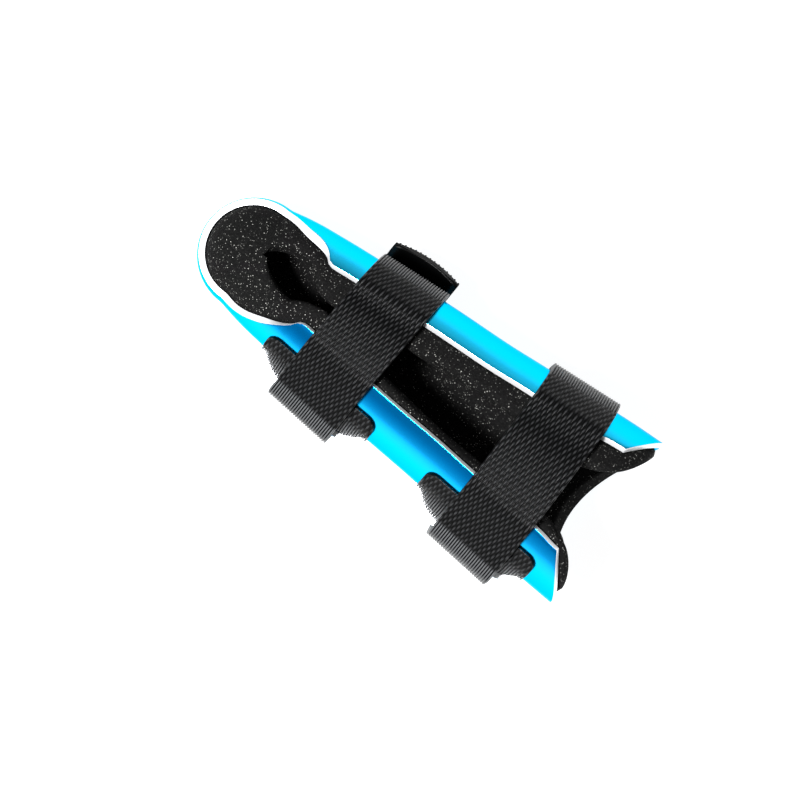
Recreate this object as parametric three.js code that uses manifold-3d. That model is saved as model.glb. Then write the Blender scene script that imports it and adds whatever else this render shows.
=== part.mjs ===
// Finger splint: a formed sheet shell with a sponge lining, held on by two webbing straps.
// Millimetres, +Z up. The tip points along -X, the open side faces up, and the splint lies on its
// back on the undersides of its straps. The origin is below its middle, on the surface it lies on.
import * as THREE from 'three';
import { mergeVertices } from 'three/addons/utils/BufferGeometryUtils.js';
import Module from 'manifold-3d';

const wasm = await Module();
wasm.setup();

// Driving sizes
const length = 85; // tip to the points of the wings at the base
const tipRadius = 9.85; // the round tip cup, seen from above
const baseRadius = 16.3; // the trough at the base
const neckAt = 22.6; // narrowest place of the slot, from the tip
const wingReach = 5.4; // how far the side wings stand past the slot edges and the back
const wingBlend = 12; // length over which the end cut grows into its wings
const shoulderLag = 0.95; // how much farther back the left shoulder of the neck stands
const cornerLag = 1.2; // how much farther back the left corner at the slot end stands
const tipLean = 2.5; // degrees that the tip's opening is turned to the left, none from the neck on
const sheet = 1.1; // sheet metal of the shell
const clearance = 0.35; // between any two pieces that touch
const foamThick = 3.5;
const foamProud = 0.45; // foam that shows past the base end of the sheet
const foamSetBack = 1.4; // how far the inner face of the foam ends before its outer face
const foamSlotWide = 9.2; // gap between the foam edges, beside the proximal strap
const strapWide = 13;
const strapThick = 1.15;
const distalFromNeck = 11.3; // middle of the distal strap, past the neck
const proximalFromEnd = 11.1; // middle of the proximal strap, before the end of the slot edges
const distalSkew = 1.1; // how much farther back a strap lies on its right side
const proximalSkew = -0.3;
const strapCrown = 0.065; // rise of a strap over the slot, as a share of the width it crosses
const pressedFlat = 0.35; // how much the outer strap layer is flattened where the splint rests
const bridgeSpan = 24.3; // length of a belt-loop bridge
const bridgeRise = 3.6; // how far a bridge stands out of the wall
const bridgeLag = 1.2; // the bridges lie a little nearer the tip than the straps
const slit = 0.35; // gap between a bridge strip and each long edge of its window
const webWide = 18.6;
const webThick = 0.8;
const flapLength = 10.4; // loose end of the distal strap
const flapBow = 1.3; // how far the middle of the loose end bows out
const flapCurl = 12; // degrees that the loose end straightens up by along its length

// Angles in degrees, measured round the trough from the middle of the open side
const bridgeFrom = 97;
const bridgeTo = 125;
const webFrom = 78;
const webTo = 133;
const foamEdgeMost = 64; // the foam keeps at least the trough below this angle
const innerLayerStart = 150; // hidden end of the strap's inner layer, on the left of the back
const liftOff = 46; // where the strap leaves the left wall for the bridge
const lowerTail = 215; // end of the proximal strap's outer layer, on the right of the back
const flapRoot = 225; // where the distal strap's loose end leaves the right of the back

// What follows from them
const slotEnd = length - wingReach;
const distalStrapAt = neckAt + distalFromNeck;
const proximalStrapAt = slotEnd - proximalFromEnd;
const foamInset = sheet + clearance;
const rad = THREE.MathUtils.degToRad;

// Sections of the trough. at: share of the way from the tip's centre to the neck, or from the neck to
// the slot end; swell: share of the growth from tip radius to base radius; open: half-angle of the
// shell's slot; foamHalf: half-width of the foam's slot as a share of half its named width, below 0
// where the foam is closed; drift: sideways shift of the foam's slot as a share of the same; dome:
// height of the foam over the axis; square: below 1 where the foam fills the shoulders of its arch.
const ovalRows = [
  { at: 0.0, swell: 0.0, open: 69.0, foamHalf: -0.3, drift: 0.18, dome: 0.9, square: 0.72 },
  { at: 0.13, swell: 0.06, open: 66.5, foamHalf: 0.02, drift: 0.18, dome: 0.9, square: 0.74 },
  { at: 0.25, swell: 0.105, open: 61.0, foamHalf: 0.29, drift: 0.16, dome: 0.9, square: 0.77 },
  { at: 0.49, swell: 0.173, open: 51.5, foamHalf: 0.54, drift: 0.11, dome: 0.91, square: 0.83 },
  { at: 0.76, swell: 0.233, open: 43.0, foamHalf: 0.55, drift: -0.02, dome: 0.93, square: 0.9 },
  { at: 0.89, swell: 0.262, open: 37.0, foamHalf: 0.36, drift: -0.06, dome: 0.94, square: 0.95 },
];
const troughRows = [
  { at: 0.0, swell: 0.285, open: 28.6, foamHalf: 0.22, drift: -0.1, dome: 0.96, square: 1.0 },
  { at: 0.065, swell: 0.338, open: 28.5, foamHalf: 0.14, drift: -0.1, dome: 0.98, square: 1.0 },
  { at: 0.2, swell: 0.44, open: 30.2, foamHalf: 0.43, drift: -0.17, dome: 1.0, square: 1.0 },
  { at: 0.36, swell: 0.545, open: 31.9, foamHalf: 0.61, drift: -0.22, dome: 1.0, square: 1.0 },
  { at: 0.54, swell: 0.64, open: 33.2, foamHalf: 0.81, drift: -0.25, dome: 1.0, square: 1.0 },
  { at: 0.66, swell: 0.735, open: 34.5, foamHalf: 0.88, drift: -0.26, dome: 1.0, square: 1.0 },
  { at: 0.95, swell: 0.94, open: 36.7, foamHalf: 1.0, drift: -0.3, dome: 1.0, square: 1.0 },
  { at: 1.0, swell: 0.97, open: 38.2, foamHalf: 1.16, drift: -0.25, dome: 1.0, square: 1.0 },
  { at: 1.11, swell: 1.02, open: 40.0, foamHalf: 1.3, drift: -0.2, dome: 1.0, square: 1.0 },
];
const sections = [
  ...ovalRows.map((row) => ({ ...row, x: tipRadius + row.at * (neckAt - tipRadius) })),
  ...troughRows.map((row) => ({ ...row, x: neckAt + row.at * (slotEnd - neckAt) })),
];

// Ribs of the sheet between two places, closer together round the oval and its shoulders
const ribSpans = [
  { from: tipRadius, to: neckAt, steps: 10 },
  { from: neckAt, to: distalStrapAt - strapWide / 2, steps: 3 },
  { from: distalStrapAt - strapWide / 2, to: slotEnd - wingBlend, steps: 8 },
  { from: slotEnd - wingBlend, to: slotEnd, steps: 5 },
];
const tipSteps = 12;

// A column of the section table at any place, as a smooth curve through its rows
function sectionValue(column, x) {
  const last = sections.length - 1;
  let row = 0;
  while (row < last - 1 && x > sections[row + 1].x) row += 1;
  const slope = (index) => {
    const before = sections[Math.max(index - 1, 0)];
    const after = sections[Math.min(index + 1, last)];
    return (after[column] - before[column]) / (after.x - before.x);
  };
  const a = sections[row];
  const b = sections[row + 1];
  const span = b.x - a.x;
  const t = THREE.MathUtils.clamp((x - a.x) / span, 0, 1);
  const t2 = t * t;
  const t3 = t2 * t;
  return (
    (2 * t3 - 3 * t2 + 1) * a[column] +
    (t3 - 2 * t2 + t) * span * slope(row) +
    (3 * t2 - 2 * t3) * b[column] +
    (t3 - t2) * span * slope(row + 1)
  );
}

function radiusAt(x) {
  return tipRadius + sectionValue('swell', x) * (baseRadius - tipRadius);
}

// How far the end cut stands past the slot end at an angle, grown in over the last stretch
function wing(x, side, angle) {
  const grown = THREE.MathUtils.smoothstep(x, slotEnd - wingBlend, slotEnd);
  const opening = sectionValue('open', slotEnd);
  const fore = Math.sin(rad(90 * THREE.MathUtils.clamp((angle - opening) / (90 - opening), 0, 1)));
  const aft = 0.5 + 0.5 * Math.cos(rad(2 * (angle - 90)));
  const lag = side > 0 && angle < 90 ? cornerLag * (1 - fore) : 0;
  return grown * (wingReach * (angle < 90 ? fore : aft) - lag);
}

// Ribs run from the base along the right side, round the tip and back along the left side
function makeRibs(extraLength) {
  const places = [tipRadius];
  for (const span of ribSpans) {
    for (let step = 1; step <= span.steps; step += 1) {
      places.push(span.from + ((span.to - span.from) * step) / span.steps);
    }
  }
  places[places.length - 1] += extraLength;
  const right = places.map((x) => ({ x, ahead: 0, side: 1 })).reverse();
  const left = places.map((x) => ({ x, ahead: 0, side: -1 }));
  const tip = [];
  for (let step = 1; step < tipSteps; step += 1) {
    const turn = (Math.PI * step) / tipSteps;
    tip.push({ x: tipRadius, ahead: -Math.sin(turn), side: Math.cos(turn) });
  }
  return [...right, ...tip, ...left];
}

// A point of a rib at an angle, a given depth inside the outer face of the sheet. Above the axis the
// section may be lower and squarer than round.
function ribPoint(rib, angle, inset, dome = 1, square = 1) {
  const x = rib.x + wing(rib.x, rib.side, angle);
  const radius = radiusAt(x) - inset;
  const out = radius * Math.sin(rad(angle));
  const cosine = Math.cos(rad(angle));
  const rise = radius * (cosine > 0 ? dome * cosine ** square : cosine);
  return [x + rib.ahead * out, rib.side * out, radiusAt(x) + rise];
}

// A closed solid between an outer and an inner grid of points. The row ends are always closed;
// firstEdge tells for which rows the first column is a free edge, and lastEdge whether the last is.
function sheetSolid(outer, inner, firstEdge = () => true, lastEdge = true) {
  const rows = outer.length;
  const columns = outer[0].length;
  const corners = [];
  const quad = (a, b, c, d) => corners.push(...a, ...b, ...c, ...a, ...c, ...d);
  for (let i = 0; i < rows - 1; i += 1) {
    for (let j = 0; j < columns - 1; j += 1) {
      quad(outer[i][j], outer[i + 1][j], outer[i + 1][j + 1], outer[i][j + 1]);
      quad(inner[i][j], inner[i][j + 1], inner[i + 1][j + 1], inner[i + 1][j]);
    }
    const last = columns - 1;
    if (firstEdge(i)) quad(outer[i][0], inner[i][0], inner[i + 1][0], outer[i + 1][0]);
    if (lastEdge) quad(outer[i][last], outer[i + 1][last], inner[i + 1][last], inner[i][last]);
  }
  const end = rows - 1;
  for (let j = 0; j < columns - 1; j += 1) {
    quad(outer[0][j], outer[0][j + 1], inner[0][j + 1], inner[0][j]);
    quad(outer[end][j], inner[end][j], inner[end][j + 1], outer[end][j + 1]);
  }
  return solidFromCorners(corners);
}

// Merge shared corners, drop empty triangles, face them outwards and hand them to the solid modeller
function solidFromCorners(corners) {
  const loose = new THREE.BufferGeometry();
  loose.setAttribute('position', new THREE.Float32BufferAttribute(corners, 3));
  const merged = mergeVertices(loose, 1e-4);
  const position = merged.getAttribute('position');
  const index = merged.getIndex().array;
  const kept = [];
  let volume = 0;
  const a = new THREE.Vector3();
  const b = new THREE.Vector3();
  const c = new THREE.Vector3();
  for (let i = 0; i < index.length; i += 3) {
    const [p, q, r] = [index[i], index[i + 1], index[i + 2]];
    if (p !== q && q !== r && r !== p) {
      kept.push(p, q, r);
      a.fromBufferAttribute(position, p);
      b.fromBufferAttribute(position, q);
      c.fromBufferAttribute(position, r);
      volume += a.dot(b.cross(c));
    }
  }
  if (volume < 0) kept.reverse();
  const mesh = new wasm.Mesh({
    numProp: 3,
    vertProperties: new Float32Array(position.array),
    triVerts: new Uint32Array(kept),
  });
  return new wasm.Manifold(mesh);
}

function geometryOf(solid) {
  const mesh = solid.getMesh();
  const indexed = new THREE.BufferGeometry();
  indexed.setAttribute('position', new THREE.BufferAttribute(new Float32Array(mesh.vertProperties), 3));
  indexed.setIndex(new THREE.BufferAttribute(new Uint32Array(mesh.triVerts), 1));
  return indexed;
}

// A curved plate on the left wall: radii are functions of the place and the angle
function wallPlate(x0, x1, xSteps, angle0, angle1, angleSteps, outerRadius, innerRadius) {
  const grid = (radiusOf) => {
    const rows = [];
    for (let i = 0; i <= xSteps; i += 1) {
      const x = x0 + ((x1 - x0) * i) / xSteps;
      const row = [];
      for (let j = 0; j <= angleSteps; j += 1) {
        const angle = angle0 + ((angle1 - angle0) * j) / angleSteps;
        const radius = radiusOf(x, angle);
        row.push([x, -radius * Math.sin(rad(angle)), radiusAt(x) + radius * Math.cos(rad(angle))]);
      }
      rows.push(row);
    }
    return rows;
  };
  return sheetSolid(grid(outerRadius), grid(innerRadius));
}

// How high a bridge stands at a place, from 0 at its roots to 1 along its flat middle
function bridgeShape(x, middle) {
  const fromMiddle = Math.min(Math.abs(x - middle) / (bridgeSpan / 2), 1);
  return 1 - fromMiddle ** 5;
}

const bridgeMiddles = [distalStrapAt - bridgeLag, proximalStrapAt - bridgeLag];

// The sheet shell, with a window cut under each bridge and the bridge strip standing over it
function makeShell() {
  const ribs = makeRibs(0);
  const ribSteps = 12;
  const face = (inset) =>
    ribs.map((rib) => {
      const lean = tipLean * (1 - THREE.MathUtils.smoothstep(rib.x, tipRadius, neckAt));
      const opening = sectionValue('open', rib.x + rib.side * shoulderLag) - rib.side * lean;
      const points = [];
      for (let j = 0; j <= ribSteps; j += 1) {
        const angle = opening + ((180 - opening) * j) / ribSteps;
        points.push(ribPoint(rib, angle, inset));
      }
      return points;
    });
  let shell = sheetSolid(face(0), face(sheet), () => true, false);
  const root = sheet; // how far a strip runs on into the wall at its roots
  const tuck = 0.2 * sheet; // and how far it is sunk in there on both faces
  for (const middle of bridgeMiddles) {
    const start = middle - bridgeSpan / 2;
    const end = middle + bridgeSpan / 2;
    const over = (x) => radiusAt(x) + sheet;
    const under = (x) => radiusAt(x) - 2 * sheet;
    const windowCut = wallPlate(start, end, 6, bridgeFrom, bridgeTo, 3, over, under);
    const top = (x) => {
      const shape = bridgeShape(x, middle);
      return radiusAt(x) + bridgeRise * shape - tuck * (1 - shape);
    };
    const bottom = (x) => {
      const shape = bridgeShape(x, middle);
      return radiusAt(x) - sheet + bridgeRise * shape + tuck * (1 - shape);
    };
    const gap = THREE.MathUtils.radToDeg(slit / radiusAt(middle));
    const [low, high] = [bridgeFrom + gap, bridgeTo - gap];
    const strip = wallPlate(start - root, end + root, 18, low, high, 3, top, bottom);
    shell = shell.subtract(windowCut).add(strip);
  }
  return shell;
}

// Angle from the middle of the open side to the foam's edge, 0 where the foam is closed over the tip
function foamEdge(rib) {
  const half = sectionValue('foamHalf', rib.x);
  if (half <= 0 || rib.ahead !== 0) return 0;
  const reach = (foamSlotWide / 2) * Math.max(half + rib.side * sectionValue('drift', rib.x), 0);
  const innerRadius = radiusAt(rib.x) - foamInset - foamThick;
  const edge = THREE.MathUtils.radToDeg(Math.asin(Math.min(reach / innerRadius, 1)));
  return Math.min(edge, foamEdgeMost);
}

// The sponge lining: closed over the tip as a dome, and open along a pear-shaped, then widening slot
function makeFoam() {
  const ribSteps = 10;
  const ribs = makeRibs(foamProud);
  const face = (inset, endsAt) =>
    makeRibs(endsAt).map((rib) => {
      const edge = foamEdge(rib);
      const dome = sectionValue('dome', rib.x);
      const square = sectionValue('square', rib.x);
      const points = [];
      for (let j = 0; j <= ribSteps; j += 1) {
        const angle = edge + ((180 - edge) * j) / ribSteps;
        points.push(ribPoint(rib, angle, inset, dome, square));
      }
      return points;
    });
  const isOpen = ribs.map((rib) => rib.ahead === 0 && sectionValue('foamHalf', rib.x) > 0);
  const free = (row) => isOpen[row] || isOpen[row + 1];
  const outer = face(foamInset, foamProud);
  const inner = face(foamInset + foamThick, foamProud - foamSetBack);
  return sheetSolid(outer, inner, free, false);
}

// Centreline of a strap in the plane of one section, from its hidden start on the back, up the right
// side, over the slot and the left bridge, and under the back again as an outer layer
function strapLine(x, hasFlap, across) {
  const wall = radiusAt(x);
  const innerLayer = wall + clearance + strapThick / 2;
  const restLevel = -(2 * clearance + 1.5 * strapThick);
  const outerLayer = wall - restLevel + pressedFlat;
  const overBridge = wall + bridgeRise + clearance + strapThick / 2;
  const opening = sectionValue('open', x);
  const points = [];
  const at = (radius, angle) => {
    const z = wall + radius * Math.cos(rad(angle));
    points.push([-radius * Math.sin(rad(angle)), Math.max(z, restLevel)]);
  };
  const arc = (radius, from, to, steps) => {
    for (let step = 0; step <= steps; step += 1) at(radius, from + ((to - from) * step) / steps);
  };
  arc(innerLayer, innerLayerStart, 360 - opening, 14);
  const crown = strapCrown * 2 * innerLayer * Math.sin(rad(opening));
  const rimLevel = wall + innerLayer * Math.cos(rad(opening));
  for (const share of [0.5, 0, -0.5]) {
    const y = share * innerLayer * Math.sin(rad(opening));
    points.push([y, rimLevel + crown * (1 - share * share)]);
  }
  arc(innerLayer, 360 + opening, 360 + liftOff, 1);
  const crest = liftOff + THREE.MathUtils.radToDeg(Math.acos(innerLayer / overBridge));
  arc(overBridge, 360 + crest, 360 + bridgeTo, 4);
  const landing = bridgeTo + THREE.MathUtils.radToDeg(Math.acos(outerLayer / overBridge));
  const flat = THREE.MathUtils.radToDeg(Math.acos(1 - pressedFlat / outerLayer));
  const besideFlat = 1.5 * flat;
  at(outerLayer, 360 + Math.min(landing, 180 - besideFlat));
  arc(outerLayer, 540 - flat, 540 + flat, 2);
  if (hasFlap) {
    arc(outerLayer, 540 + besideFlat, 360 + flapRoot, 2);
    addFlap(points, across);
  } else {
    arc(outerLayer, 540 + besideFlat, 360 + lowerTail, 1);
  }
  return points;
}

// The loose end runs on from the back, straightening upwards, and bows out towards its free edge
function addFlap(points, across) {
  const steps = 4;
  let heading = flapRoot - 180;
  let [y, z] = points[points.length - 1];
  for (let step = 1; step <= steps; step += 1) {
    y += (flapLength / steps) * Math.cos(rad(heading));
    z += (flapLength / steps) * Math.sin(rad(heading));
    heading += flapCurl / steps;
    const bow = flapBow * (1 - across * across) * (step / steps) ** 1.5;
    points.push([y + bow * Math.sin(rad(heading)), z - bow * Math.cos(rad(heading))]);
  }
}

// Move each point of a line sideways by a distance, keeping the thickness at the bends
function offsetLine(points, distance) {
  return points.map((point, index) => {
    const before = points[Math.max(index - 1, 0)];
    const after = points[Math.min(index + 1, points.length - 1)];
    const into = new THREE.Vector2(point[0] - before[0], point[1] - before[1]).normalize();
    const outOf = new THREE.Vector2(after[0] - point[0], after[1] - point[1]).normalize();
    if (index === 0) into.copy(outOf);
    if (index === points.length - 1) outOf.copy(into);
    const along = into.clone().add(outOf).normalize();
    const stretch = distance / along.dot(into);
    return [point[0] + along.y * stretch, point[1] - along.x * stretch];
  });
}

function makeStrap(middle, skew, hasFlap) {
  const widthSteps = hasFlap ? 4 : 2;
  const face = (distance) => {
    const rows = [];
    for (let i = 0; i <= widthSteps; i += 1) {
      const across = (2 * i) / widthSteps - 1;
      const x = middle + (across * strapWide) / 2;
      const line = offsetLine(strapLine(x, hasFlap, across), distance);
      rows.push(line.map(([y, z]) => [x + (skew * y) / (2 * radiusAt(x)), y, z]));
    }
    return rows;
  };
  return sheetSolid(face(strapThick / 2), face(-strapThick / 2));
}

// The wide webbing that lines a bridge and comes out of its mouth to lie against the wall
function makeWeb(middle) {
  const top = (x, angle) => {
    const inMouth = THREE.MathUtils.smoothstep(angle, webFrom, bridgeFrom);
    const lining = bridgeRise * bridgeShape(x, middle) - sheet - clearance;
    const resting = webThick + clearance;
    return radiusAt(x) + resting + Math.max(lining - resting, 0) * inMouth;
  };
  const bottom = (x, angle) => top(x, angle) - webThick;
  return wallPlate(middle - webWide / 2, middle + webWide / 2, 8, webFrom, webTo, 7, top, bottom);
}

const finishes = {
  anodised: { color: 0x12b4ee, roughness: 0.25, metalness: 0.7 },
  sponge: { color: 0x1c1c1d, roughness: 0.95, metalness: 0 },
  webbing: { color: 0x232425, roughness: 0.75, metalness: 0 },
};

const splint = new THREE.Group();

function addPiece(name, solid, finish) {
  const mesh = new THREE.Mesh(geometryOf(solid), new THREE.MeshStandardMaterial(finishes[finish]));
  mesh.name = name;
  splint.add(mesh);
}

addPiece('shell', makeShell(), 'anodised');
addPiece('foam_liner', makeFoam(), 'sponge');
addPiece('strap_distal', makeStrap(distalStrapAt, distalSkew, true), 'webbing');
addPiece('strap_proximal', makeStrap(proximalStrapAt, proximalSkew, false), 'webbing');
addPiece('web_distal', makeWeb(bridgeMiddles[0]), 'webbing');
addPiece('web_proximal', makeWeb(bridgeMiddles[1]), 'webbing');

// Set the middle of the splint over the origin and its strap undersides on the surface
const box = new THREE.Box3().setFromObject(splint);
splint.position.set(-(box.min.x + box.max.x) / 2, -(box.min.y + box.max.y) / 2, -box.min.z);

export default splint;
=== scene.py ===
import math

import bmesh
import bpy
import numpy as np
from mathutils import Matrix, Vector


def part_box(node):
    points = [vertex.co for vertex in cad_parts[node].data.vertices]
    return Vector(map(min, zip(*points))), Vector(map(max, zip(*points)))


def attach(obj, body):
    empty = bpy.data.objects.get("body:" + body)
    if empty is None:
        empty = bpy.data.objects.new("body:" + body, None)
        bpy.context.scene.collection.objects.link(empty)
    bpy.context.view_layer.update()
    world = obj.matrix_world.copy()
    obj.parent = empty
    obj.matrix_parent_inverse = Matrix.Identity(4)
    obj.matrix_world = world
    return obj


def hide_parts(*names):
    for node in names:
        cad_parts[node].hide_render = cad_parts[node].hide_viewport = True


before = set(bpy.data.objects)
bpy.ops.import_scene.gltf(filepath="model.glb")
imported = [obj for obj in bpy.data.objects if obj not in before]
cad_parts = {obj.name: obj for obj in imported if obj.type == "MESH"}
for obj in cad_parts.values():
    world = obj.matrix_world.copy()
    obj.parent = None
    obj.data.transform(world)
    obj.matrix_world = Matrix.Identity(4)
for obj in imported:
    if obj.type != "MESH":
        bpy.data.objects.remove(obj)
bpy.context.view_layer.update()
scene = bpy.context.scene
mm = 0.001

# The places of the CAD part that the looks are built on, in millimetres
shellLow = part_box("shell")[0]
foamLow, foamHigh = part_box("foam_liner")
tipAt = shellLow.x / mm  # the tip of the shell along X
keelAt = shellLow.z / mm  # the back line of the shell
axisAt = (foamLow.y + foamHigh.y) / 2 / mm  # the middle plane of the trough

# Sizes in millimetres and angles in degrees. An angle without a note is measured round the axis
# from the middle of the open side.
splint = {
    "length": 85,
    "tipRadius": 9.85,
    "baseRadius": 16.3,
    "neckAt": 22.6,
    "wingReach": 5.4,  # how far the wings of the base stand out past the slot end
    "wingBlend": 12,
    "shoulderLag": {1: 1.35, -1: 0.95},  # shift of the right and the left shoulder to the tip
    "cornerLag": 1.2,  # the right side ends this much before the left side
    "tipLean": 2.5,  # turn of the opening to the left at the tip, fading out towards the neck
    "ovalLean": 3.5,  # more turn to the left, in the middle of the oval
    "leanFrom": 2,  # that turn begins this far before the centre of the round tip
    "tipSink": 6,  # by how many degrees the rim is lower at the very tip
    "levelTo": (6, 1),  # the rim stops being cut level between these distances before the neck
    "paintedShadeBlend": 4,  # half the width over which the right side's painted shade begins
    "sheet": 1.1,
    "clearance": 0.35,
    "middleUp": 14,  # from the back line to about the middle of the hollow
    "edgeRound": 0.12,
    "sharpEdge": 50,  # degrees between faces from which an edge is rounded
    "flatWeight": 80,
}
slotEnd = splint["length"] - splint["wingReach"]
distalStrapAt = splint["neckAt"] + 10.5
proximalStrapAt = slotEnd - 11.8

# Sections along the shell.
# at: share of the way from the tip's centre to the neck, or from the neck to the slot end
# swell: how far the radius has grown from the tip's to the base's
# open: half of the open side, in degrees
# foamHalf, drift: half width and shift of the lining's slot, as shares of half foam["slotWide"]
# dome, square: height and squareness of the lining above the axis
columns = ("at", "swell", "open", "foamHalf", "drift", "dome", "square")
ovalRows = (
    (0.0, 0.0, 68.0, -0.3, 0.18, 0.9, 0.72),
    (0.13, 0.045, 66.3, 0.02, 0.18, 0.9, 0.74),
    (0.25, 0.095, 61.8, 0.29, 0.16, 0.9, 0.77),
    (0.49, 0.173, 51.5, 0.54, 0.11, 0.91, 0.83),
    (0.76, 0.233, 43.0, 0.55, -0.02, 0.93, 0.9),
    (0.89, 0.262, 37.0, 0.36, -0.06, 0.94, 0.95),
)
troughRows = (
    (0.0, 0.285, 28.6, 0.22, -0.1, 0.96, 1.0),
    (0.065, 0.338, 28.5, 0.14, -0.1, 0.98, 1.0),
    (0.2, 0.44, 30.2, 0.43, -0.17, 1.0, 1.0),
    (0.36, 0.545, 31.9, 0.61, -0.22, 1.0, 1.0),
    (0.54, 0.64, 33.2, 0.81, -0.25, 1.0, 1.0),
    (0.66, 0.735, 34.5, 0.88, -0.26, 1.0, 1.0),
    (0.95, 0.94, 36.7, 1.0, -0.3, 1.0, 1.0),
    (1.0, 0.97, 38.2, 1.16, -0.25, 1.0, 1.0),
    (1.11, 1.02, 40.0, 1.3, -0.2, 1.0, 1.0),
)


def sectionTable():
    rows = []
    for start, end, part in (
        (splint["tipRadius"], splint["neckAt"], ovalRows),
        (splint["neckAt"], slotEnd, troughRows),
    ):
        rows += [(start + row[0] * (end - start), *row[1:]) for row in part]
    values = np.array(rows)
    return {name: values[:, index] for index, name in enumerate(("x", *columns[1:]))}


sections = sectionTable()


def sectionValue(name, x):
    # A smooth curve through the rows of the table
    places, values = sections["x"], sections[name]
    slopes = np.gradient(values, places)
    slopes[1:-1] = (values[2:] - values[:-2]) / (places[2:] - places[:-2])
    slopes[0] = 0
    x = np.asarray(x, float)
    row = np.clip(np.searchsorted(places, x) - 1, 0, len(places) - 2)
    span = places[row + 1] - places[row]
    t = np.clip((x - places[row]) / span, 0, 1)
    return (
        (2 * t**3 - 3 * t**2 + 1) * values[row]
        + (t**3 - 2 * t**2 + t) * span * slopes[row]
        + (3 * t**2 - 2 * t**3) * values[row + 1]
        + (t**3 - t**2) * span * slopes[row + 1]
    )


def radiusAt(x):
    growth = splint["baseRadius"] - splint["tipRadius"]
    return splint["tipRadius"] + sectionValue("swell", x) * growth


def smoothstep(value, low, high):
    t = np.clip((value - low) / (high - low), 0, 1)
    return t * t * (3 - 2 * t)


def inMetres(x, y, z):
    # From the tip, the middle plane and the back line to the frame of the part
    places = np.stack(np.broadcast_arrays(x + tipAt, y + axisAt, z + keelAt), -1)
    return places * mm


def makeMesh(name, points, faces, looks):
    mesh = bpy.data.meshes.new(name)
    mesh.from_pydata(points.tolist(), [], [list(face) for face in faces])
    for look in looks:
        mesh.materials.append(look)
    mesh.polygons.foreach_set("use_smooth", np.ones(len(mesh.polygons), bool))
    mesh.update()
    made = bpy.data.objects.new(name, mesh)
    scene.collection.objects.link(made)
    return made


def facesOf(index):
    # Four-sided faces between the neighbours in a grid of point numbers
    corners = (index[:-1, :-1], index[1:, :-1], index[1:, 1:], index[:-1, 1:])
    return np.stack([corner.ravel() for corner in corners], 1)


def gridFaces(rows, columns, first=0):
    return facesOf(first + np.arange(rows * columns).reshape(rows, columns))


def giveEach(made, name, values):
    # Give each point a value that the materials can read
    attribute = made.data.attributes.new(name, "FLOAT", "POINT")
    attribute.data.foreach_set("value", np.ravel(values))


samePoint = 0.002 * mm  # points nearer than this become one
noLength = 0.001 * mm  # an edge shorter than this goes


def weld(made):
    # Join the points that meet and turn every face outwards
    work = bmesh.new()
    work.from_mesh(made.data)
    bmesh.ops.remove_doubles(work, verts=work.verts, dist=samePoint)
    bmesh.ops.dissolve_degenerate(work, edges=work.edges, dist=noLength)
    bmesh.ops.recalc_face_normals(work, faces=work.faces)
    work.to_mesh(made.data)
    work.free()
    made.data.update()
    return made


class Value:
    # A shader socket that can be reckoned with: every operator adds a Math node
    def __init__(self, tree, socket):
        self.tree = tree
        self.socket = socket

    def math(self, operation, other, reflected=False):
        pair = (other, self) if reflected else (self, other)
        return addNode(self.tree, "Math", 0, {"operation": operation}, dict(enumerate(pair)))

    def __add__(self, other):
        return self.math("ADD", other)

    def __sub__(self, other):
        return self.math("SUBTRACT", other)

    def __mul__(self, other):
        return self.math("MULTIPLY", other)

    def __truediv__(self, other):
        return self.math("DIVIDE", other)

    def __pow__(self, other):
        return self.math("POWER", other)

    def __radd__(self, other):
        return self.math("ADD", other, reflected=True)

    def __rsub__(self, other):
        return self.math("SUBTRACT", other, reflected=True)

    def __rmul__(self, other):
        return self.math("MULTIPLY", other, reflected=True)

    def __rtruediv__(self, other):
        return self.math("DIVIDE", other, reflected=True)

    def __rpow__(self, other):
        return self.math("POWER", other, reflected=True)

    def between(self, low, high):
        # 0 below low, 1 above high, and smooth in between
        settings = {"interpolation_type": "SMOOTHSTEP"}
        inputs = {"Value": self, "From Min": low, "From Max": high}
        return addNode(self.tree, "MapRange", "Result", settings, inputs)


def connect(tree, target, source):
    if isinstance(source, Value):
        tree.links.new(source.socket, target)
    else:
        target.default_value = source


def addNode(tree, kind, output, settings, inputs):
    # Every node comes from here: its settings are set first, then a value or a link in each socket
    made = tree.nodes.new("ShaderNode" + kind)
    for name, value in settings.items():
        setattr(made, name, value)
    for socket, value in inputs.items():
        connect(tree, made.inputs[socket], value)
    return Value(tree, made.outputs[output])


class Look:
    # A material with a Principled shader, and the nodes that feed it
    def __init__(self, name, **constants):
        self.material = bpy.data.materials.new(name)
        self.material.use_nodes = True
        self.tree = self.material.node_tree
        self.shader = self.tree.nodes["Principled BSDF"]
        for socket, value in constants.items():
            self.shader.inputs[socket.replace("_", " ")].default_value = value

    def node(self, kind, output, settings=(), **inputs):
        named = {name.replace("_", " "): value for name, value in inputs.items()}
        return addNode(self.tree, kind, output, dict(settings), named)

    def place(self):
        return self.node("TexCoord", "Object")

    def mix(self, share, low, high):
        return addNode(self.tree, "Mix", 2, {"data_type": "RGBA"}, {0: share, 6: low, 7: high})

    def bump(self, height, depth):
        bumped = self.node("Bump", "Normal", Height=height, Strength=1.0, Distance=depth)
        connect(self.tree, self.shader.inputs["Normal"], bumped)

    def feed(self, socket, source):
        connect(self.tree, self.shader.inputs[socket], source)


# The blue is the sheet's own colour. The mix between its two blues stands in for reflections:
# painted shade near the open side, painted light on the sides.
anodised = {
    # painted shade: the deep blue where the wall reflects dark things
    "deep": (0.0, 0.23, 0.64, 1),
    # painted light: the lighter cyan where the wall reflects the bright floor
    "paintedLitBlue": (0.015, 0.48, 0.76, 1),
    "grazing": (0.03, 0.65, 0.9, 1),  # colour of the sheet seen almost edge on
    "roughness": 0.22,
    "turnsPaintedLit": (38, 65),  # degrees from the middle of the open side over which painted shade turns to painted light
    "rightPaintedShade": 65,  # the right side is painted as light all over as the left side is at this angle
}


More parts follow.
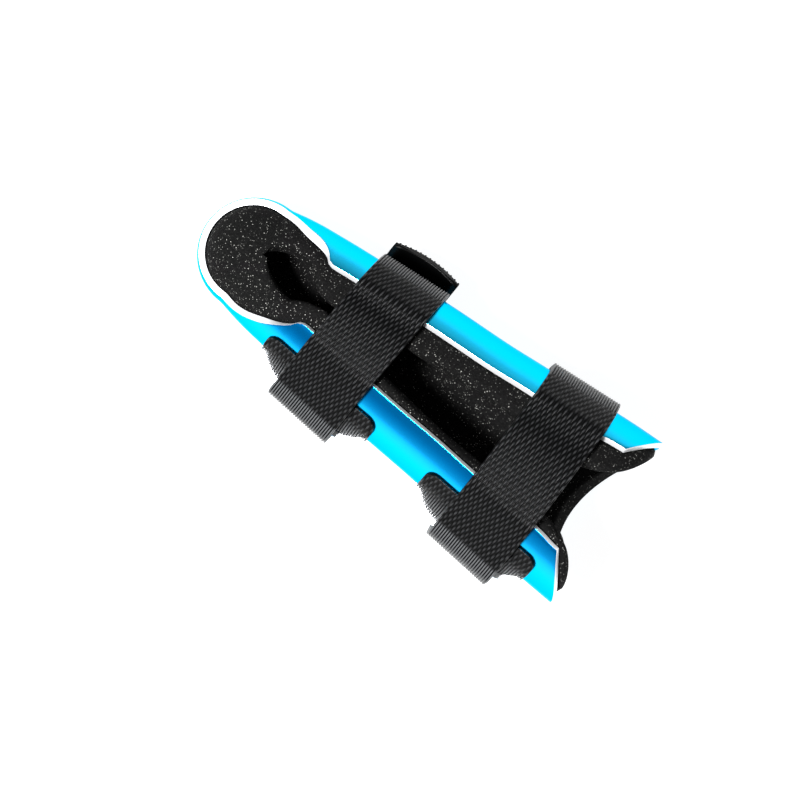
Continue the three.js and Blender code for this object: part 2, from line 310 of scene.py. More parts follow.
def anodisedLook():
    look = Look(
        "anodised_blue",
        Metallic=1.0,
        Roughness=anodised["roughness"],
        Specular_Tint=anodised["grazing"],
    )
    # Painted reflection in the colour: deep blue near the open side is painted shade, the lighter
    # blue of the sides is painted light
    paintedShade = look.node("Attribute", "Fac", {"attribute_name": "paintedShade"})
    share = paintedShade.between(*anodised["turnsPaintedLit"])
    look.feed("Base Color", look.mix(share, anodised["deep"], anodised["paintedLitBlue"]))
    return look.material


bareEdge = {"colour": (0.72, 0.73, 0.75, 1), "roughness": 0.38, "metallic": 0.6}


def bareLook():
    look = Look(
        "bare_edge",
        Metallic=bareEdge["metallic"],
        Roughness=bareEdge["roughness"],
        Base_Color=bareEdge["colour"],
    )
    return look.material


sponge = {
    "dark": (0.0018, 0.0018, 0.0018, 1),
    "light": (0.0045, 0.0045, 0.0045, 1),
    # painted glints: tiny bright points where the cells of the foam catch the light
    "paintedGlint": (0.3, 0.3, 0.28, 1),
    "patchy": (0.35, 0.75),  # of the noise, from dark to light
    "cell": 0.33 * mm,
    "cellShare": 0.7,  # the rest of the relief is noise
    "depth": 0.12 * mm,  # of the cells at the surface
    "roughness": 0.9,
    "gloss": 0.07,
    "speckCell": 0.27 * mm,
    "speckShare": 0.6,
    "speckRarity": 5,  # the higher, the fewer specks get the painted glint
    "speckEdge": (0.16, 0.42),  # of the distance from a speck's middle
}


def spongeLook():
    look = Look("sponge", Roughness=sponge["roughness"], Specular_IOR_Level=sponge["gloss"])
    place = look.place()
    cells = look.node("TexVoronoi", "Distance", Vector=place, Scale=1 / sponge["cell"])
    rough = look.node("TexNoise", "Fac", Vector=place, Scale=1 / sponge["cell"])
    relief = cells * sponge["cellShare"] + rough * (1 - sponge["cellShare"])
    look.bump(relief, sponge["depth"])
    # Painted glints: a few small cells are given a bright colour
    scale = 1 / sponge["speckCell"]
    nearness = look.node("TexVoronoi", "Distance", Vector=place, Scale=scale)
    chance = look.node("TexVoronoi", "Color", Vector=place, Scale=scale)
    drawn = look.node("SeparateColor", "Red", Color=chance)
    chosen = (1 - drawn / sponge["speckShare"]).math("MAXIMUM", 0) ** sponge["speckRarity"]
    small = 1 - nearness.between(*sponge["speckEdge"])
    plain = look.mix(rough.between(*sponge["patchy"]), sponge["dark"], sponge["light"])
    look.feed("Base Color", look.mix(chosen * small, plain, sponge["paintedGlint"]))
    return look.material


webbing = {
    "colour": (0.0009, 0.00095, 0.001, 1),
    "paintedFloatHighlight": (0.026, 0.0272, 0.0285, 1),  # painted highlight on the tops of the floats
    "highlightBy": 0.8,  # how far a raised thread gets the painted highlight
    "patchyBy": 0.5,  # how far noise adds to that or takes from it
    "highlightFrom": (0.25, 1),
    "parted": (0.075, 0.078, 0.081, 1),  # painted highlight on the ridges of ribs that part at a bend
    "partedFrom": (1.2, 2),
    "roughness": 0.34,
    "gloss": 0.07,
    "patch": 0.6 * mm,  # size of the paler and darker patches
    "fibre": 0.12 * mm,
    "fibreDepth": 0.03 * mm,
}


def webbingLook():
    look = Look("webbing", Roughness=webbing["roughness"], Specular_IOR_Level=webbing["gloss"])
    place = look.place()
    thread = look.node("TexNoise", "Fac", Vector=place, Scale=1 / webbing["patch"])
    raised = look.node("Attribute", "Fac", {"attribute_name": "raised"})
    # Painted highlight: raised threads are lightened, more or less by noise
    share = raised * webbing["highlightBy"] + (thread - 0.5) * webbing["patchyBy"]
    paintedFloatHighlight = share.between(*webbing["highlightFrom"])
    cloth = look.mix(paintedFloatHighlight, webbing["colour"], webbing["paintedFloatHighlight"])
    # Painted highlight on the ridges that part where the strap bends
    parted = raised.between(*webbing["partedFrom"])
    look.feed("Base Color", look.mix(parted, cloth, webbing["parted"]))
    fibres = look.node("TexNoise", "Fac", Vector=place, Scale=1 / webbing["fibre"])
    look.bump(fibres, webbing["fibreDepth"])
    return look.material


blueLook = anodisedLook()
edgeLook = bareLook()
foamLook = spongeLook()
clothLook = webbingLook()
print("materials made")


bridge = {
    "span": 24.3,
    "rise": 3.6,
    "blunt": 5,  # the higher, the more the bridge is level along its middle
    "lag": 0.8,  # its middle is this much nearer the tip than the strap's
    "slit": 0.35,
    "slitRadius": 14.5,  # at which the slit has this width
    "from": 97,
    "to": 125,
    "still": (78, 146),  # the rows are straight between these angles and the strip
}
bridgeMiddles = (distalStrapAt - bridge["lag"], proximalStrapAt - bridge["lag"])


def bridgeShape(x, middle):
    return 1 - np.minimum(np.abs(x - middle) / (bridge["span"] / 2), 1) ** bridge["blunt"]


def towardsBack(angle):
    # 1 at the side of the shell and 0 at the back line
    return 0.5 + 0.5 * np.cos(np.radians(2 * (angle - 90)))


def rightLag(side, angle):
    # The right side ends a little before the left side, and both meet at the back line
    return splint["cornerLag"] * np.where(angle < 90, 1, towardsBack(angle)) * (side > 0)


def endCut(side, angle):
    # How far the sheet reaches along X at an angle, at its base end
    opening = float(sectionValue("open", slotEnd))
    fore = np.sin(np.radians(90 * np.clip((angle - opening) / (90 - opening), 0, 1)))
    reach = np.where(angle < 90, fore, towardsBack(angle))
    return slotEnd + splint["wingReach"] * reach - rightLag(side, angle)


# last is where the rows end before the base is cut, step the space between rows, and the others
# count the columns of each part of a row and the steps round the tip
shellGrid = {"last": 82, "step": 0.75, "back": 14, "strip": 8, "wall": 20, "tipTurns": 44}


def stations():
    # Places along X in nearly even steps, with a row at each bridge root
    ends = [splint["tipRadius"]]
    for middle in bridgeMiddles:
        ends += [middle - bridge["span"] / 2, middle + bridge["span"] / 2]
    ends.append(shellGrid["last"])
    places = [ends[0]]
    for start, end in zip(ends, ends[1:]):
        count = max(round((end - start) / shellGrid["step"]), 1)
        places += list(np.linspace(start, end, count + 1)[1:])
    return np.array(places)


def anglesTo(opening):
    # From the back line to the rim, with columns along the edges of the bridge strips
    slit = math.degrees(bridge["slit"] / bridge["slitRadius"])
    low, high = bridge["to"], bridge["from"]
    marks = (180, low, low - slit, high + slit, high, opening)
    counts = (shellGrid["back"], 1, shellGrid["strip"], 1, shellGrid["wall"])
    angles = [180.0]
    for start, end, count in zip(marks, marks[1:], counts):
        angles += list(np.linspace(start, end, count + 1)[1:])
    return np.array(angles)


def levelCut(x):
    # How far the rim is cut level and not square: wholly round the tip, and not from the neck on
    start, end = splint["levelTo"]
    return 1 - smoothstep(x, splint["neckAt"] - start, splint["neckAt"] - end)


def openingAt(x, side):
    # The rim's angle; side goes from 1 at the right through 0 at the very tip to -1 at the left
    start, neck = splint["tipRadius"], splint["neckAt"]
    lean = splint["tipLean"] * (1 - smoothstep(x, start, neck))
    early = splint["leanFrom"]
    along = np.clip((x - start + early) / (neck - start + early), 0, 1)
    lean = lean + splint["ovalLean"] * np.sin(math.pi * along) ** 2
    lag = splint["shoulderLag"][1 if side > 0 else -1] * abs(side)
    inner = sectionValue("open", x + math.copysign(lag, side)) - side * lean
    inner = inner + splint["tipSink"] * math.sqrt(max(1 - side * side, 0))
    share = (radiusAt(x) - splint["sheet"]) / radiusAt(x)
    level = np.degrees(np.arccos(share * np.cos(np.radians(inner))))
    return inner + (level - inner) * levelCut(x)


def applyModifiers(made):
    graph = bpy.context.evaluated_depsgraph_get()
    made.data = bpy.data.meshes.new_from_object(made.evaluated_get(graph))
    made.modifiers.clear()


def levelRim(shell):
    # Bring the inner edge of the rim up to the height of its outer edge, where the cut is level
    mesh = shell.data
    onRim = np.zeros(len(mesh.vertices), bool)
    for face in mesh.polygons:
        if face.material_index == 1:
            onRim[list(face.vertices)] = True
    places = np.array([vertex.co for vertex in mesh.vertices]) / mm
    turn = np.zeros(len(onRim))
    mesh.attributes["turn"].data.foreach_get("value", turn)
    x = places[:, 0] - tipAt
    y = places[:, 1] - axisAt
    radius = radiusAt(np.maximum(x, splint["tipRadius"]))
    ahead = np.minimum(x - splint["tipRadius"], 0)
    z = places[:, 2] - keelAt - radius
    out = np.hypot(ahead, y)
    inner = radius - splint["sheet"]
    moved = onRim & (turn < 90) & (np.hypot(out, z) < radius - splint["sheet"] / 2)
    share = levelCut(x)
    target = z + (radius * np.cos(np.radians(turn)) - z) * share
    nearer = np.sqrt(np.maximum(inner**2 - target**2, 0)) / np.maximum(out, 0.1)
    x = np.where(moved, x + ahead * (nearer - 1), x)
    y = np.where(moved, y * nearer, y)
    z = np.where(moved, target, z)
    placed = inMetres(x, y, z + radius)
    mesh.vertices.foreach_set("co", placed.ravel())
    mesh.update()


def troughSide(side, rows):
    # The points and angles of one side, from the back line to the rim
    angle = np.array([anglesTo(float(openingAt(x, side))) for x in rows])
    s = rows[:, None]
    reach = endCut(side, angle)
    last = shellGrid["last"]
    x = s + (reach - last) * smoothstep(s, slotEnd - splint["wingBlend"], last)
    if side < 0:  # the rows stay straight across the bridges and catch up behind them
        held = bridgeMiddles[1] + bridge["span"] / 2
        late = np.minimum(s, held) + np.maximum(s - held, 0) * (reach - held) / (last - held)
        above, below = bridge["still"]
        band = smoothstep(angle, above, bridge["from"])
        band = band * (1 - smoothstep(angle, bridge["to"], below))
        x = x + (late - x) * band
    out = radiusAt(x)
    if side < 0:
        strip = np.zeros_like(out)
        strip[:, slice(*stripColumns())] = 1
        for middle in bridgeMiddles:
            out = out + strip * bridge["rise"] * bridgeShape(x, middle)
    y = side * out * np.sin(np.radians(angle))
    z = radiusAt(x) + out * np.cos(np.radians(angle))
    return inMetres(x, y, z), angle


def stripColumns():
    # The first column of a bridge strip, counted from the back line, and the one after its last
    first = shellGrid["back"] + 1
    return first, first + shellGrid["strip"] + 1


def troughFaces(rows, across):
    # All faces of the trough without the slits beside each strip
    count = len(rows)
    row = np.repeat(np.arange(count - 1), across - 1)
    column = np.tile(np.arange(across - 1), count - 1) - across // 2
    middleX = (rows[row] + rows[row + 1]) / 2
    inBridge = np.zeros(len(row), bool)
    for middle in bridgeMiddles:
        inBridge |= np.abs(middleX - middle) < bridge["span"] / 2
    first, after = stripColumns()
    inSlit = inBridge & ((column == first - 1) | (column == after - 1))
    return gridFaces(count, across)[~inSlit]


def roundTip():
    # The points and angles of the tip, turning from the right side to the left
    radius = splint["tipRadius"]
    points, angles = [], []
    for step in np.linspace(0, math.pi, shellGrid["tipTurns"] + 1):
        ahead, side = math.sin(step), math.cos(step)
        angle = anglesTo(float(openingAt(radius, side)))
        out = radius * np.sin(np.radians(angle))
        z = radius * (1 + np.cos(np.radians(angle)))
        points.append(inMetres(radius - ahead * out, side * out, z))
        angles.append(angle)
    return np.array(points), np.array(angles)


def turnOutwards(shell):
    # The sheet is open, so its faces are compared with the direction away from its middle
    work = bmesh.new()
    work.from_mesh(shell.data)
    centre = Vector((0, axisAt, keelAt + splint["middleUp"])) * mm
    facing = sum(f.normal.dot(f.calc_center_median() - centre) * f.calc_area() for f in work.faces)
    if facing < 0:
        bmesh.ops.reverse_faces(work, faces=work.faces)
    work.to_mesh(shell.data)
    work.free()


def makeShell():
    rows = stations()
    right, rightTurns = troughSide(1, rows)
    left, leftTurns = troughSide(-1, rows)
    points = np.concatenate([right[:, ::-1], left[:, 1:]], 1)
    turn = np.concatenate([rightTurns[:, ::-1], leftTurns[:, 1:]], 1)
    tipPoints, tipTurns = roundTip()
    faces = troughFaces(rows, turn.shape[1])
    tipFaces = gridFaces(*tipTurns.shape, first=turn.size)
    allPoints = np.concatenate([points.reshape(-1, 3), tipPoints.reshape(-1, 3)])
    allFaces = np.concatenate([faces, tipFaces])
    shell = makeMesh("shell_sheet", allPoints, allFaces, [blueLook, edgeLook])
    allTurns = np.concatenate([turn.ravel(), tipTurns.ravel()])
    # The turn angle, held at one value across the right side, sets the painted shade of the blue
    blend = splint["paintedShadeBlend"]
    onRight = smoothstep(allPoints[:, 1] / mm - axisAt, -blend, blend)
    giveEach(shell, "turn", allTurns)
    giveEach(shell, "paintedShade", allTurns + (anodised["rightPaintedShade"] - allTurns) * onRight)
    weld(shell)
    turnOutwards(shell)
    thicken = shell.modifiers.new("sheet", "SOLIDIFY")
    thicken.thickness = splint["sheet"] * mm
    thicken.offset = -1
    thicken.use_even_offset = True
    thicken.material_offset_rim = 1
    applyModifiers(shell)
    levelRim(shell)
    rounding = shell.modifiers.new("rounding", "BEVEL")
    rounding.width = splint["edgeRound"] * mm
    rounding.segments = 2
    rounding.limit_method = "ANGLE"
    rounding.angle_limit = math.radians(splint["sharpEdge"])
    even = shell.modifiers.new("even", "WEIGHTED_NORMAL")
    even.weight = splint["flatWeight"]
    return shell


foam = {
    "thick": 3.5,
    "proud": 0.45,
    "setBack": 1.4,  # the inner face ends this much before the outer face
    "slotWide": 9.2,
    "edgeMost": 64,
    "round": 1.1,
    "fadeBelow": 8,  # the slot's edge is less rounded where the slot is narrower than this
    "cornerAt": 79.0,  # where the rounded corners of the base end begin, from the tip
    "cornerTo": 82,  # and where they end, round the axis
    "cornerPower": 0.6,
    "endAt": 84.9,
}
foamGrid = {"oval": 45, "trough": 90, "around": 46, "edge": 6, "tipTurns": 48}


def foamEdge(x, side):
    half = sectionValue("foamHalf", x)
    reach = foam["slotWide"] / 2 * np.maximum(half + side * sectionValue("drift", x), 0)
    inner = radiusAt(x) - splint["sheet"] - splint["clearance"] - foam["thick"]
    edge = np.degrees(np.arcsin(np.minimum(reach / inner, 1)))
    return np.where(half > 0, np.minimum(edge, foam["edgeMost"]), 0)


def foamEnd(side, angle, edge):
    # The base end: a rounded corner from each slot edge, then level, then cut back below
    share = np.clip((angle - edge) / (foam["cornerTo"] - edge), 0, 1)
    bulge = (1 - (1 - share) ** 2) ** foam["cornerPower"]
    corner = foam["cornerAt"] + (foam["endAt"] - foam["cornerAt"]) * bulge
    aft = 0.5 - 0.5 * np.cos(np.radians(2 * (angle - 90)))
    reach = np.where(angle < 90, corner, foam["endAt"] - splint["wingReach"] * aft)
    return reach - rightLag(side, angle)


def makeFoam():
    end = slotEnd + foam["proud"]
    quarter = np.linspace(0, math.pi / 2, foamGrid["edge"])
    places = np.concatenate(
        [
            np.linspace(splint["tipRadius"], splint["neckAt"], foamGrid["oval"])[:-1],
            np.linspace(splint["neckAt"], end - foam["round"], foamGrid["trough"])[:-1],
            end - foam["round"] * np.cos(quarter),
        ]
    )
    near = foam["round"] * (1 - np.cos(quarter))  # beside the slot edge
    even = np.linspace(0, 1, foamGrid["around"])[1:]
    deep = splint["sheet"] + splint["clearance"]

    def ring(x, side, ahead, layer):
        # One rib of a face, from its edge to the back line
        edge = float(foamEdge(x, side)) if ahead == 0 else 0.0
        isOpen = ahead == 0 and float(sectionValue("foamHalf", x)) > 0
        around = math.radians(180 - edge) * (radiusAt(x) - deep - foam["thick"] / 2)
        beside = near if isOpen else np.linspace(0, foam["round"], foamGrid["edge"])
        distance = np.concatenate([beside, foam["round"] + even * (around - foam["round"])])
        angle = edge + (180 - edge) * distance / around
        cut = np.zeros_like(distance)
        if isOpen:
            left = np.maximum(foam["round"] - distance, 0)
            opened = min(edge / foam["fadeBelow"], 1)
            cut = opened * (foam["round"] - np.sqrt(foam["round"] ** 2 - left**2))
        toEnd = np.maximum(foam["round"] - (end - x), 0)
        cutEnd = foam["round"] - math.sqrt(max(foam["round"] ** 2 - toEnd**2, 0))
        cut = np.maximum(cut, cutEnd)
        reach = foamEnd(side, angle, edge) - end
        if layer:
            reach = reach - foam["setBack"]
        placeX = x + reach * smoothstep(x, slotEnd - splint["wingBlend"], slotEnd)
        inset = deep + (foam["thick"] - cut if layer else cut)
        radius = radiusAt(placeX) - inset
        out = radius * np.sin(np.radians(angle))
        cosine = np.cos(np.radians(angle))
        square = sectionValue("square", x)
        up = sectionValue("dome", x) * np.maximum(cosine, 0) ** square
        rise = radius * np.where(cosine > 0, up, cosine)
        return inMetres(placeX - ahead * out, side * out, radiusAt(placeX) + rise), isOpen

    points, opens = [], []
    for layer in (0, 1):
        rings = [ring(x, 1, 0, layer) for x in places[::-1]]
        for step in np.linspace(0, math.pi, foamGrid["tipTurns"] + 1)[1:-1]:
            rings.append(ring(splint["tipRadius"], math.cos(step), math.sin(step), layer))
        rings += [ring(x, -1, 0, layer) for x in places]
        points.append(np.array([r[0] for r in rings]))
        opens = [r[1] for r in rings]
    rows, across = points[0].shape[:2]
    size = rows * across
    faces = [gridFaces(rows, across), gridFaces(rows, across, first=size)[:, ::-1]]
    for row in range(rows - 1):
        if opens[row] or opens[row + 1]:
            a, b = row * across, (row + 1) * across
            faces.append([[a, a + size, b + size, b]])
    for row in (0, rows - 1):
        for column in range(across - 1):
            a = row * across + column
            faces.append([[a, a + 1, a + 1 + size, a + size]])
    allPoints = np.concatenate([p.reshape(-1, 3) for p in points])
    liner = makeMesh("foam_lining", allPoints, np.concatenate(faces), [foamLook])
    return weld(liner)


weave = {
    "pitch": 0.457,  # from rib to rib
    "samples": 6,  # across a rib
    "row": 0.3,
    "float": 1.92,  # length of one over and under, along the ribs
    "slant": 0.12,  # of the floats, as a share of their length
    "lift": 0.22,
    "groove": 0.12,
    "partedGroove": 0.42,
    "partedFlat": 0.8,  # how far the floats are lost where the ribs part
}
strap = {
    "wide": 13,
    "thick": 1.15,
    "crown": 0.065,  # rise over the open side, as a share of its width
    "dip": 0.35,  # beside the right rim
    "dipAt": 0.55,  # share of the way from the middle to the right rim
    "dipWide": 0.2,
    "overRim": 0.4,  # how far it stands up over the right rim
    "overRimWide": 1.1,
    "pressedFlat": 0.35,  # how far it would reach below the ground if it stayed round
    "innerStart": 150,
    "liftOff": 46,
    "lowerTail": 215,
    "flapRoot": 225,
    "flapCurl": 12,  # degrees by which it bends along its length
    "flapLength": 9.5,
    "flapBow": 1.3,
    "flapSteps": 20,
    "crownSteps": 31,
    "arcStep": 1.5,
    "lanes": 9,  # lines along the strap, which the places between them follow
    "laneSamples": 1600,
    "softness": 0.35,  # how far a bend is rounded
    "rightComb": 2.7,  # the ribs part this far before the outermost line of each side
    "leftComb": 2.2,
    "combBlend": 0.3,
    "combDepth": (-2, -0.5),  # heights from the axis between which the ribs close again
}
straps = {
    "strap_distal": {"at": distalStrapAt, "skew": 1.1, "hasFlap": True},
    "strap_proximal": {"at": proximalStrapAt, "skew": -0.3, "hasFlap": False},
}


def ribPlaces(share, ribCount):
    # Places counted in ribs, with the far edge still in the last rib
    return (share * ribCount * 0.99999)[:, None]


def weaveHeight(across, along, parted):
    # across counts ribs, along is in millimetres, and parted is 1 where a bend parts the ribs.
    # Returns the height, and how raised a thread is: 1 on a float and 2 on a parted rib.
    rib = np.floor(across)
    fromRidge = 2 * (across - rib) - 1
    slant = weave["slant"] * fromRidge
    over = 0.5 + 0.5 * np.cos(2 * math.pi * (along / weave["float"] + slant + rib / 2))
    hump = np.sqrt(np.maximum(1 - fromRidge**2, 0))
    over = over + (0.5 - over) * parted * weave["partedFlat"]
    groove = weave["groove"] + (weave["partedGroove"] - weave["groove"]) * parted
    raised = over * hump
    ridge = 2 * hump**3
    return weave["lift"] * raised + groove * (hump - 1), raised + (ridge - raised) * parted


def arc(line, wall, radius, start, end):
    # Add an arc round the axis, which is as high as the wall's radius
    for angle in np.linspace(start, end, max(int(abs(end - start) / strap["arcStep"]), 2)):
        turned = math.radians(angle)
        line.append((-radius * math.sin(turned), wall + radius * math.cos(turned)))


def addFlap(line, across):
    # The loose end curls away from the shell and bows out along its middle
    heading = strap["flapRoot"] - 180
    y, z = line[-1]
    steps = strap["flapSteps"]
    for step in range(1, steps + 1):
        y += strap["flapLength"] / steps * math.cos(math.radians(heading))
        z += strap["flapLength"] / steps * math.sin(math.radians(heading))
        heading += strap["flapCurl"] / steps
        bow = strap["flapBow"] * (1 - across * across) * (step / steps) ** 1.5
        turned = math.radians(heading)
        line.append((y + bow * math.sin(turned), z - bow * math.cos(turned)))


def strapLine(x, hasFlap, across):
    # The middle of the webbing's thickness, from its inner end over the open side to its outer end
    wall = float(radiusAt(x))
    gap, thick = splint["clearance"], strap["thick"]
    inner = wall + gap + thick / 2
    restLevel = -(2 * gap + 1.5 * thick)
    outer = wall - restLevel + strap["pressedFlat"]
    over = wall + bridge["rise"] + gap + thick / 2
    opening = float(sectionValue("open", x))
    line = []
    arc(line, wall, inner, strap["innerStart"], 360 - opening)
    half = inner * math.sin(math.radians(opening))
    rim = wall + inner * math.cos(math.radians(opening))
    for share in np.linspace(1, -1, strap["crownSteps"])[1:-1]:
        crown = strap["crown"] * 2 * half * (1 - share * share)
        dip = strap["dip"] * math.exp(-(((share - strap["dipAt"]) / strap["dipWide"]) ** 2))
        line.append((share * half, rim + crown - dip))
    arc(line, wall, inner, 360 + opening, 360 + strap["liftOff"])
    onBridge = strap["liftOff"] + math.degrees(math.acos(inner / over))
    arc(line, wall, over, 360 + onBridge, 360 + bridge["to"])
    landing = bridge["to"] + math.degrees(math.acos(outer / over))
    flat = 1.5 * math.degrees(math.acos(1 - strap["pressedFlat"] / outer))
    arc(line, wall, outer, 360 + min(landing, 180 - flat), 540 + flat)
    if hasFlap:
        arc(line, wall, outer, 540 + flat, 360 + strap["flapRoot"])
        addFlap(line, across)
    else:
        arc(line, wall, outer, 540 + flat, 360 + strap["lowerTail"])
    line = np.array(line)
    line[:, 1] = np.maximum(line[:, 1], restLevel)
    overRim = np.exp(-(((line[:, 0] - half) / strap["overRimWide"]) ** 2)) * (line[:, 1] > wall)
    line[:, 1] += strap["overRim"] * overRim
    return line


def resampled(line, count):
    length = np.concatenate([[0], np.cumsum(np.linalg.norm(np.diff(line, axis=0), axis=1))])
    even = np.linspace(0, length[-1], count)
    return np.stack([np.interp(even, length, line[:, k]) for k in range(2)], 1), length[-1]


def softened(line, length):
    # Round the bends of an evenly sampled line, keeping its ends
    step = length / (len(line) - 1)
    reach = int(3 * strap["softness"] / step) + 1
    kernel = np.exp(-0.5 * (np.arange(-reach, reach + 1) * step / strap["softness"]) ** 2)
    kernel /= kernel.sum()
    before = 2 * line[0] - line[reach:0:-1]
    after = 2 * line[-1] - line[-2 : -reach - 2 : -1]
    padded = np.concatenate([before, line, after])
    return np.stack([np.convolve(padded[:, k], kernel, "valid") for k in range(2)], 1)


def normalsOf(line):
    along = np.gradient(line, axis=0)
    along /= np.linalg.norm(along, axis=1)[:, None]
    return np.stack([along[:, 1], -along[:, 0]], 1)


def spread(lanes, across):
    # From the lanes to any places across the strap, in straight steps
    last = len(lanes) - 1
    place = (across + 1) / 2 * last
    low = np.clip(place.astype(int), 0, last - 1)
    share = (place - low)[:, None, None]
    return lanes[low] * (1 - share) + lanes[low + 1] * share


def strapLanes(at, hasFlap):
    lines, lengths = [], []
    for across in np.linspace(-1, 1, strap["lanes"]):
        x = at + across * strap["wide"] / 2
        fine, length = resampled(strapLine(x, hasFlap, across), strap["laneSamples"])
        lines.append(softened(fine, length))
        lengths.append(length)
    length = float(np.mean(lengths))
    rows = int(length / weave["row"])
    return np.array([resampled(line, rows)[0] for line in lines]), length


def partedRibs(centre, radius):
    # 1 beside the outermost line of each side, where the strap bends down
    y = centre[..., 0]
    rightMost = radius + splint["clearance"] + strap["thick"] / 2
    leftMost = -y.min(axis=1, keepdims=True)
    onRight = y - rightMost + strap["rightComb"]
    past = np.where(y > 0, onRight, strap["leftComb"] - leftMost - y)
    beside = smoothstep(past, -strap["combBlend"], strap["combBlend"])
    return beside * smoothstep(centre[..., 1] - radius, *strap["combDepth"])


def makeStrap(name):
    given = straps[name]
    lines, length = strapLanes(given["at"], given["hasFlap"])
    normals = np.array([normalsOf(line) for line in lines])
    rows = lines.shape[1]
    along = np.linspace(0, length, rows)
    ribCount = round(strap["wide"] / weave["pitch"])
    top = np.linspace(-1, 1, ribCount * weave["samples"] + 1)
    under = np.linspace(1, -1, strap["lanes"])
    parts, raisedParts = [], []
    for across, sign in ((top, 1), (under, -1)):
        centre, normal = spread(lines, across), spread(normals, across)
        normal /= np.linalg.norm(normal, axis=2)[..., None]
        lift = np.full(centre.shape[:2], sign * strap["thick"] / 2)
        raised = np.zeros_like(lift)
        place = given["at"] + across * strap["wide"] / 2
        radius = radiusAt(place)[:, None]
        if sign > 0:
            ribs = ribPlaces((across + 1) / 2, ribCount)
            height, raised = weaveHeight(ribs, along[None, :], partedRibs(centre, radius))
            lift = lift + height - weave["lift"] * 0.5
        yz = centre + normal * lift[..., None]
        yz[..., 1] = np.maximum(yz[..., 1], -keelAt)  # pressed flat on the ground
        x = place[:, None] + given["skew"] * yz[..., 0] / (2 * radius)
        parts.append(inMetres(x, yz[..., 0], yz[..., 1]))
        raisedParts.append(raised)
    loop = np.concatenate(parts, 0)
    raised = np.concatenate(raisedParts, 0)
    index = np.arange(loop.shape[0] * rows).reshape(-1, rows)
    index = np.concatenate([index, index[:1]])
    faces = facesOf(index).tolist()
    faces += [index[:-1, 0].tolist(), index[:-1, -1][::-1].tolist()]
    made = makeMesh(name + "_weave", loop.reshape(-1, 3), faces, [clothLook])
    giveEach(made, "raised", raised)
    return weld(made)


web = {
    "wide": 23.5,
    "thick": 0.8,
    "edgeThick": 0.32,
    "from": 55,
    "full": 68,  # the web has its whole thickness from here
    "parts": (66, 80),  # its ribs part between these angles
    "to": 133,
    "row": 0.24,
    "corner": 2.2,
    "standOff": 0.12,  # between the web and the shell outside the bridge
    "underBridge": 0.15,  # between the web and the bridge
    "mouth": 1.5,  # degrees before the bridge at which the web stops when the bridge is too low
    "low": (0.35, 0.7),  # the web passes under the bridge where the space grows past this
    "least": 0.06,
}


def makeWeb(name, middle):
    half = web["wide"] / 2
    ribCount = round(web["wide"] / weave["pitch"])
    across = np.linspace(-half, half, ribCount * weave["samples"] + 1)
    radius = float(radiusAt(middle))
    rows = int(math.radians(web["to"] - web["from"]) * radius / web["row"])
    fromCorner = np.maximum(np.abs(across) - (half - web["corner"]), 0)
    rounding = web["corner"] - np.sqrt(np.maximum(web["corner"] ** 2 - fromCorner**2, 0))
    start = web["from"] + np.degrees(rounding / radius)
    # Under the low ends of the bridge the web stops at the mouth
    rise = bridge["rise"] * bridgeShape(middle + across, middle)
    under = rise - splint["sheet"] - web["underBridge"]
    mouth = bridge["from"] - web["mouth"]
    stop = mouth + (web["to"] - mouth) * smoothstep(under, *web["low"])
    share = np.linspace(0, 1, rows)
    angle = start[:, None] + (stop - start)[:, None] * share[None, :]
    x = middle + across[:, None] + 0 * angle
    atBridge = np.maximum(under, web["low"][0])[:, None]
    whole = smoothstep(angle, start[:, None], web["full"])
    thick = web["edgeThick"] + (web["thick"] - web["edgeThick"]) * whole
    resting = thick + web["standOff"]
    inMouth = smoothstep(angle, web["full"], bridge["from"])
    level = resting + (atBridge - resting) * inMouth
    bottom = np.maximum(level - thick, web["least"])
    along = np.radians(angle) * radius
    ribs = ribPlaces((across + half) / web["wide"], ribCount)
    height, raised = weaveHeight(ribs, along, smoothstep(angle, *web["parts"]))
    grids = []
    for out in (level + height * whole, bottom):
        r = radiusAt(x) + out
        y = -r * np.sin(np.radians(angle))
        grids.append(inMetres(x, y, radiusAt(x) + r * np.cos(np.radians(angle))))
    columnCount, rowCount = angle.shape
    size = columnCount * rowCount
    index = np.arange(size).reshape(columnCount, rowCount)
    faces = [facesOf(index), facesOf(index + size)[:, ::-1]]
    for edge in (index[0], index[-1], index[:, 0], index[:, -1]):
        faces.append(np.stack([edge[:-1], edge[1:], edge[1:] + size, edge[:-1] + size], 1))
    points = np.concatenate([g.reshape(-1, 3) for g in grids])
    made = makeMesh(name + "_weave", points, np.concatenate(faces), [clothLook])
    giveEach(made, "raised", (raised, 0 * raised))
    return weld(made)


photo = {
    "turn": 37.8,  # degrees from the picture's level to the splint's length
    "roll": 6.0,
    "target": (0.00167, -0.00381, 0.016),
    "distance": 0.5,
    "pixelsPerMetre": 5929,
    "pixels": 800,
    "sensor": 36,
}


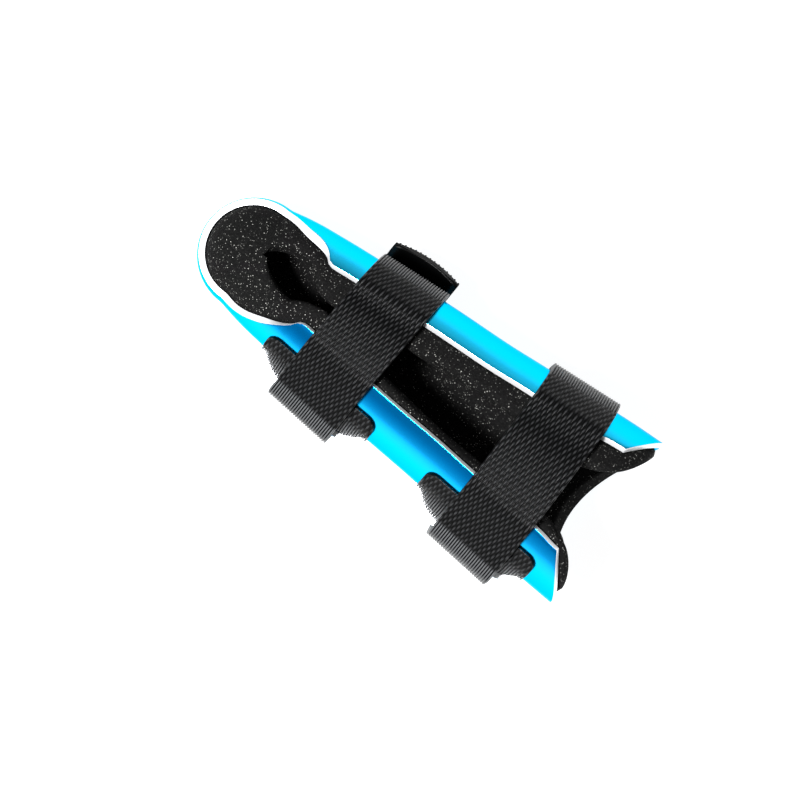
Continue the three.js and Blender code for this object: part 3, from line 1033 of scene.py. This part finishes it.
def makeCamera():
    turn, roll = math.radians(photo["turn"]), math.radians(photo["roll"])
    away = Vector((0, -math.sin(roll), math.cos(roll)))
    side = Vector((0, math.cos(roll), math.sin(roll)))
    along = Vector((1, 0, 0))
    right = along * math.cos(turn) + side * math.sin(turn)
    up = side * math.cos(turn) - along * math.sin(turn)
    placed = Matrix((right, up, away)).transposed().to_4x4()
    placed.translation = Vector(photo["target"]) + away * photo["distance"]
    data = bpy.data.cameras.new("photo_camera")
    data.sensor_width = photo["sensor"]
    scale = photo["pixelsPerMetre"] / photo["pixels"]
    data.lens = photo["sensor"] * photo["distance"] * scale
    data.clip_start, data.clip_end = 0.01, 10
    made = bpy.data.objects.new("photo_camera", data)
    made.matrix_world = placed
    scene.collection.objects.link(made)
    scene.camera = made


lights = {
    "key": {"place": (-0.16, -0.24, 0.6), "aim": (0, 0, 0.015), "size": 0.12, "power": 14},
}
# Brightness, and the share of the way up from which the sky is as bright as at the zenith
sky = {"horizon": 1.0, "zenith": 0.35, "reach": 0.45}


def makeLight(name):
    given = lights[name]
    data = bpy.data.lights.new(name, "AREA")
    data.size = given["size"]
    data.energy = given["power"]
    made = bpy.data.objects.new(name, data)
    made.location = given["place"]
    aim = Vector(given["aim"]) - Vector(given["place"])
    made.rotation_euler = aim.to_track_quat("-Z", "Y").to_euler()
    scene.collection.objects.link(made)


def makeSky():
    world = bpy.data.worlds.new("studio")
    world.use_nodes = True
    scene.world = world
    tree = world.node_tree
    place = addNode(tree, "TexCoord", "Generated", {}, {})
    height = addNode(tree, "SeparateXYZ", "Z", {}, {0: place})
    change = height.between(0.0, sky["reach"]) * (sky["zenith"] - sky["horizon"])
    background = tree.nodes["Background"]
    background.inputs["Color"].default_value = (1, 1, 1, 1)
    connect(tree, background.inputs["Strength"], sky["horizon"] + change)


ground = {"half": 0.6, "colour": (0.3, 0.3, 0.3, 1), "roughness": 0.9, "glow": 0.9}


def makeFloor():
    size = ground["half"]
    points = np.array([(-size, -size, 0), (size, -size, 0), (size, size, 0), (-size, size, 0)])
    look = Look(
        "white_ground",
        Base_Color=ground["colour"],
        Roughness=ground["roughness"],
        Emission_Color=(1, 1, 1, 1),
        Emission_Strength=ground["glow"],
    )
    floor = makeMesh("ground", points, [(0, 1, 2, 3)], [look.material])


makeCamera()
makeSky()
for name in lights:
    makeLight(name)
makeFloor()
scene.view_settings.view_transform = "Standard"
print("camera, lights and ground made")


def take(made, node):
    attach(made, "root")
    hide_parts(node)
    print(node, "made,", len(made.data.polygons), "faces")
    return made


take(makeShell(), "shell")
liner = take(makeFoam(), "foam_liner")
for name in straps:
    take(makeStrap(name), name)
for name, middle in zip(("web_distal", "web_proximal"), bridgeMiddles):
    take(makeWeb(name, middle), name)
